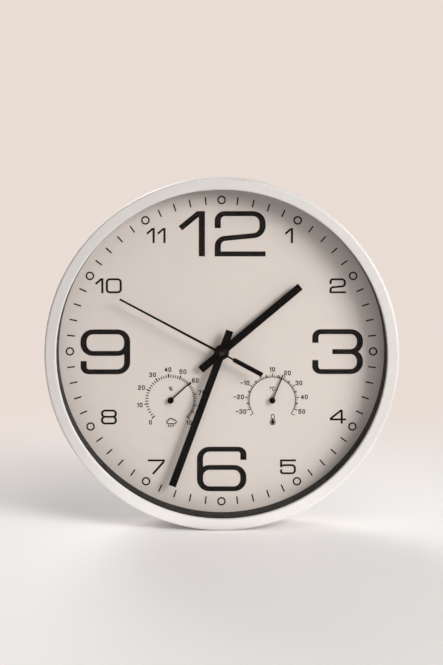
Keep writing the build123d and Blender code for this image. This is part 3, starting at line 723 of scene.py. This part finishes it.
def print_cloud(centre):
    """Outline of a cloud with strokes of rain."""
    outer = []
    inner = []
    for shapes, margin in ((outer, cloud_pen / 2), (inner, -cloud_pen / 2)):
        for disc in cloud_discs:
            shapes.append(circle(centre + Vector((disc.x, disc.z)), disc.radius + margin))
        left = centre.x + cloud_discs[0].x
        right = centre.x + cloud_discs[-1].x
        low = centre.y + cloud_base - margin
        corners = ((left, low), (right, low), (right, centre.y), (left, centre.y))
        shapes.append([Vector(corner) for corner in corners])
    printed("print_cloud", outer, cuts=inner)
    drops = []
    for step in range(rain_count):
        top = centre + Vector(((step - (rain_count - 1) / 2) * rain_pitch, rain_top))
        drops.append(bar(top, rain_turn, 0, rain_length, cloud_pen))
    printed("print_rain", drops)


def print_hygrometer():
    hub = middle("hygrometer_housing")
    ticks = []
    labels = []
    for percent in humidity_marks():
        angle = humidity_angle(percent)
        if percent % label_step:
            ticks.append(bar(hub, angle, humidity_start, humidity_end, percent_width))
        else:
            ticks.append(bar(hub, angle, humidity_start, humidity_ten_end, ten_percent_width))
            labels += scale_label(f"{percent:g}", hub, angle)
    printed("print_humidity_scale", ticks)
    printed("print_humidity_numbers", labels)
    printed("print_humidity_unit", text("%", hub + Vector((0, unit_rise)), unit_type))
    print_cloud(hub + Vector(cloud_offset))


def print_glass_tube(bulb):
    """Outline of a glass thermometer with its column."""

    def tube(margin, rise):
        radius = stem_radius + margin
        top = bulb + Vector((0, rise))
        side = Vector((radius, 0))
        stem = [bulb - side, bulb + side, top + side, top - side]
        return [circle(bulb, bulb_radius + margin), circle(top, radius), stem]

    printed("print_tube", tube(sign_pen / 2, stem_rise), cuts=tube(-sign_pen / 2, stem_rise))
    printed("print_column", tube(-sign_pen / 2 - column_gap, column_rise))


def print_thermometer():
    hub = middle("thermometer_housing")
    arc = []
    for step in range(arc_steps + 1):
        arc.append(hub + arc_radius * heading(2 * arc_half_turn * step / arc_steps - arc_half_turn))
    ticks = stroke(arc, False, (degree_width, degree_width))
    labels = []
    for degree in range(low_degree, high_degree + 1):
        angle = degree_turn * (degree - upright_degree)
        if degree % label_step == 0:
            ticks.append(bar(hub, angle, arc_radius, ten_end, ten_degree_width))
            labels += scale_label(str(degree), hub, angle)
        elif degree % middle_step == 0:
            ticks.append(bar(hub, angle, arc_radius, five_end, degree_width))
        elif degree % small_step == 0:
            ticks.append(bar(hub, angle, arc_radius, two_end, degree_width))
    for angle in (-arc_half_turn, arc_half_turn):
        ticks.append(bar(hub, angle, arc_radius, ten_end, degree_width))
    printed("print_degree_scale", ticks, "ink_grey")
    printed("print_degree_numbers", labels)
    printed("print_degree_unit", text("oC", hub + Vector((0, unit_rise)), unit_type))
    print_glass_tube(hub + Vector(bulb_offset))


def lathe(profile, steps):
    """Closed turned shape about the y axis."""
    bm = bmesh.new()
    turns = [2 * pi * step / steps for step in range(steps)]
    rings = []
    for radius, height in profile:
        if radius:
            rings.append([bm.verts.new((radius * cos(turn), height, radius * sin(turn))) for turn in turns])
        else:
            rings.append([bm.verts.new((0, height, 0))])
    for lower, upper in zip(rings, rings[1:]):
        for step in range(steps):
            after = (step + 1) % steps
            near = [lower[step % len(lower)], upper[step % len(upper)]]
            far = [upper[after % len(upper)], lower[after % len(lower)]]
            bm.faces.new(list(dict.fromkeys(near + far)))
    bmesh.ops.recalc_face_normals(bm, faces=bm.faces)
    return bm


def dome(radius, base, rise):
    """Profile of a dome from its rim at the base to its middle."""
    turns = [step / dome_steps * pi / 2 for step in range(dome_steps)]
    return [(radius * cos(turn), base + rise * sin(turn)) for turn in turns] + [(0, base + rise)]


def recess_cutter():
    """Cross-shaped tool for a screw's recess."""
    bm = bmesh.new()
    reach = recess_length / 2
    side = recess_width / 2
    arm = [(side, side), (side, reach), (-side, reach)]
    outline = []
    for _ in range(recess_arms):
        outline += arm
        arm = [(-z, x) for x, z in arm]
    floor = bm.faces.new([bm.verts.new((x, screw_head_height - recess_depth, z)) for x, z in outline])
    grown = bmesh.ops.extrude_face_region(bm, geom=[floor])
    tops = [item for item in grown["geom"] if isinstance(item, bmesh.types.BMVert)]
    bmesh.ops.translate(bm, verts=tops, vec=(0, 2 * recess_depth, 0))
    bmesh.ops.recalc_face_normals(bm, faces=bm.faces)
    return placed("recess", meshed("recess", bm))


def screw_mesh(shank):
    """Domed screw with a cross recess, its head standing towards +y from y = 0."""
    rim = screw_rim_share * screw_head_height
    profile = [(0, -shank), (screw_radius, -shank), (screw_radius, 0), (screw_head_radius, 0)]
    profile += dome(screw_head_radius, rim, screw_head_height - rim)
    screw = placed("screw", meshed("screw", lathe(profile, screw_steps)))
    cutter = recess_cutter()
    cut = screw.modifiers.new("recess", "BOOLEAN")
    cut.object = cutter
    solved = screw.evaluated_get(bpy.context.evaluated_depsgraph_get())
    shaped = bpy.data.meshes.new_from_object(solved)
    bpy.data.objects.remove(screw)
    bpy.data.objects.remove(cutter)
    return shaped


def fasteners(name, node, places):
    """Screws at their places on the dial's plane, in place of the node's plain ones."""
    low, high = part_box(node)
    seat = high.y - screw_head_height
    shaped = screw_mesh(seat - low.y)
    bm = bmesh.new()
    for place in places:
        known = set(bm.verts)
        bm.from_mesh(shaped)
        fresh = [vertex for vertex in bm.verts if vertex not in known]
        bmesh.ops.translate(bm, verts=fresh, vec=(place.x, seat, place.y))
    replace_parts(piece(name, meshed(name, bm), "screw_steel"), node)


def plate_fasteners():
    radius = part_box("back_screws")[1].z - screw_head_radius
    places = [radius * heading(full_turn * step / screw_count) for step in range(screw_count)]
    fasteners("plate_screws", "back_screws", places)


def ear_fasteners():
    low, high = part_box("hanger_screws")
    height = (low.z + high.z) / 2
    places = [Vector((low.x + screw_head_radius, height)), Vector((high.x - screw_head_radius, height))]
    fasteners("ear_screws", "hanger_screws", places)


def second_blade():
    """Tapered sleeve over the second hand's straight needle."""
    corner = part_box("second_hand")[0]
    way = heading(blade_angle)
    side = left_of(way) / 2
    reach = (corner.x + way.y * blade_tip_width / 2) / way.x
    root = blade_root * way
    tip = reach * way
    root_side = blade_root_width * side
    tip_side = blade_tip_width * side
    polygon = (root - root_side, tip - tip_side, tip + tip_side, root + root_side)
    base = corner.y + cap_height - blade_cover + blade_thickness
    slot = "hand_black"
    raised("second_blade", [polygon], base, blade_thickness, slot, body="second_hand")


def cap_rivet():
    """Polished dome in the middle of the second hand's cap."""
    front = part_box("second_hand")[0].y
    seat = front + rivet_seat
    bm = lathe([(0, seat), (rivet_radius, seat)] + dome(rivet_radius, front, -rivet_height), rivet_steps)
    for face in bm.faces:
        face.smooth = True
    piece("cap_rivet", meshed("cap_rivet", bm), "cap_black", "second_hand")


def arrow_arc(centre, radius):
    """Polygons of an arc with an arrow head at each end."""
    turns = (arrow_middle - arrow_half_turn, arrow_middle + arrow_half_turn)
    path = []
    for step in range(circle_steps + 1):
        path.append(centre + radius * heading(turns[0] + (turns[1] - turns[0]) * step / circle_steps))
    polygons = stroke(path, False, (mark_pen, mark_pen))
    for end, turn, way in ((path[0], turns[0], -quarter_turn), (path[-1], turns[1], quarter_turn)):
        side = arrow_half_width * heading(turn)
        polygons.append((end - side, end + arrow_length * heading(turn + way), end + side))
    return polygons


def movement_marks():
    """Raised signs of the cell's ends and of the knob's turning."""
    low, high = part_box("movement_base")
    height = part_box("battery_cell")[1].z + mark_rise
    plus = Vector((high.x - mark_inset, height))
    minus = Vector((low.x + mark_inset, height))
    half = mark_size / 2
    polygons = []
    for centre, angle in ((plus, 0), (plus, quarter_turn), (minus, quarter_turn)):
        polygons.append(bar(centre, angle, -half, half, mark_pen))
    knob = middle("setting_knob")
    polygons += arrow_arc(knob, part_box("setting_knob")[1].x - knob.x + arrow_gap)
    slot = "movement_plastic"
    raised("movement_marks", polygons, high.y + mark_relief, mark_relief, slot)


def wrapped(name, start, end, rise, look):
    """Sleeve on the cell between two places along it."""
    low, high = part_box("battery_cell")
    radius = (high.z - low.z) / 2 + rise
    inner = radius - wrap_edge
    profile = [(0, start), (inner, start), (radius, start + wrap_edge)]
    profile += [(radius, end - wrap_edge), (inner, end), (0, end)]
    bm = lathe(profile, wrap_steps)
    for face in bm.faces:
        face.smooth = len(face.verts) == 4
    bmesh.ops.rotate(bm, verts=bm.verts, cent=(0, 0, 0), matrix=Matrix.Rotation(-pi / 2, 3, "Z"))
    bmesh.ops.translate(bm, verts=bm.verts, vec=(0, (low.y + high.y) / 2, (low.z + high.z) / 2))
    piece(name, meshed(name, bm), look)


def wrap_cell():
    """Printed sleeve with a band round the cell, whose ends stay bare metal."""
    low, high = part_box("battery_cell")
    sleeve_end = high.x - wrap_end
    wrapped("cell_sleeve", low.x + wrap_start, sleeve_end, wrap_thickness, "cell_wrap")
    wrapped("cell_band", sleeve_end - band_length, sleeve_end, 2 * wrap_thickness, "cell_band")
    nodes["battery_cell"].material_slots[0].material = materials["contact_steel"]


def worked_out(tree, operation, first, second, clamp=False):
    """Socket of a sum of two sockets or numbers."""
    node = tree.nodes.new("ShaderNodeMath")
    node.operation = operation
    node.use_clamp = clamp
    for value, socket in ((first, node.inputs[0]), (second, node.inputs[1])):
        if isinstance(value, bpy.types.NodeSocket):
            tree.links.new(value, socket)
        else:
            socket.default_value = value
    return node.outputs["Value"]


def seen_directly(tree):
    """Socket that is 1 for camera, glossy and transmission rays that no dull surface has scattered."""
    path = tree.nodes.new("ShaderNodeLightPath")
    seen = path.outputs["Is Camera Ray"]
    for name in ("Is Glossy Ray", "Is Transmission Ray"):
        seen = worked_out(tree, "MAXIMUM", seen, path.outputs[name])
    scattered = worked_out(tree, "MINIMUM", path.outputs["Diffuse Depth"], 1)
    return worked_out(tree, "SUBTRACT", seen, scattered, clamp=True)


def floor_material():
    """Pale floor that fades into the backdrop's colour away from the clock."""
    material = surface("floor", floor_finish)
    tree = material.node_tree
    shader = tree.nodes["Principled BSDF"]
    shader.inputs["Emission Color"].default_value = (*floor_glow, 1)
    seen = seen_directly(tree)
    tree.links.new(seen, shader.inputs["Emission Strength"])
    place = tree.nodes.new("ShaderNodeNewGeometry")
    away = tree.nodes.new("ShaderNodeVectorMath")
    away.operation = "DISTANCE"
    away.inputs[1].default_value = (0, fade_centre, cad_box[0].z)
    tree.links.new(place.outputs["Position"], away.inputs[0])
    fade = tree.nodes.new("ShaderNodeMapRange")
    fade.interpolation_type = "SMOOTHSTEP"
    fade.inputs["From Min"].default_value = fade_start
    fade.inputs["From Max"].default_value = fade_end
    tree.links.new(away.outputs["Value"], fade.inputs["Value"])
    share = worked_out(tree, "MULTIPLY", fade.outputs["Result"], seen)
    glow = tree.nodes.new("ShaderNodeEmission")
    glow.inputs["Color"].default_value = (*backdrop_colour, 1)
    mixed(tree, share, shader.outputs["BSDF"], glow.outputs["Emission"], "Material Output")
    return material


def studio_floor():
    ground = cad_box[0].z
    corners = ((-1, -1), (1, -1), (1, 1), (-1, 1))
    mesh = bpy.data.meshes.new("floor")
    mesh.from_pydata([(floor_reach * x, floor_reach * y, ground) for x, y in corners], [], [(0, 1, 2, 3)])
    mesh.materials.append(floor_material())
    placed("floor", mesh)


def studio_world():
    """Even light from all round; seen directly, the backdrop's colour."""
    world = bpy.data.worlds.new("studio")
    world.use_nodes = True
    tree = world.node_tree
    light = tree.nodes["Background"]
    light.inputs["Color"].default_value = (*world_colour, 1)
    light.inputs["Strength"].default_value = world_strength
    wall = tree.nodes.new("ShaderNodeBackground")
    wall.inputs["Color"].default_value = (*backdrop_colour, 1)
    seen = seen_directly(tree)
    mixed(tree, seen, light.outputs["Background"], wall.outputs["Background"], "World Output")
    bpy.context.scene.world = world


def soft_lamp(name, lamp):
    """Soft rectangular lamp at its place, facing its aim."""
    light = bpy.data.lights.new(name, "AREA")
    light.shape = "RECTANGLE"
    light.size, light.size_y = lamp.size
    light.energy = lamp.watts
    light.color = lamp.colour
    stand = placed(name, light)
    stand.location = lamp.place
    stand.rotation_euler = (Vector(lamp.place) - Vector(lamp.aim)).to_track_quat("Z", "Y").to_euler()
    stand.visible_camera = False
    stand.visible_transmission = False


def studio_camera():
    camera = bpy.data.cameras.new("camera")
    camera.sensor_fit = "VERTICAL"
    camera.sensor_width = sensor_mm
    camera.sensor_height = sensor_mm
    camera.lens = lens_mm
    camera.shift_x, camera.shift_y = frame_shift_shares
    eye = placed("camera", camera)
    rise = radians(eye_elevation)
    lip_centre = Vector((0, cad_box[0].y, 0))
    eye.location = lip_centre + Vector((eye_side, -eye_distance * cos(rise), eye_distance * sin(rise)))
    eye.rotation_euler = (pi / 2 - radians(aim_drop), 0, 0)
    bpy.context.scene.camera = eye


materials = {name: surface(name, finish) for name, finish in finishes.items()}
materials["lens_glass"] = clear_glass("lens_glass")
for subpart in frame["record"]["subparts"]:
    nodes[subpart["node"]].material_slots[0].material = materials[subpart["material_slot"]]

print_numbers()
print_track()
print_hygrometer()
print_thermometer()
plate_fasteners()
ear_fasteners()
second_blade()
cap_rivet()
movement_marks()
wrap_cell()

studio_floor()
studio_world()
for name, lamp in lamps.items():
    soft_lamp(name, lamp)
studio_camera()
bpy.context.scene.view_settings.view_transform = "Standard"
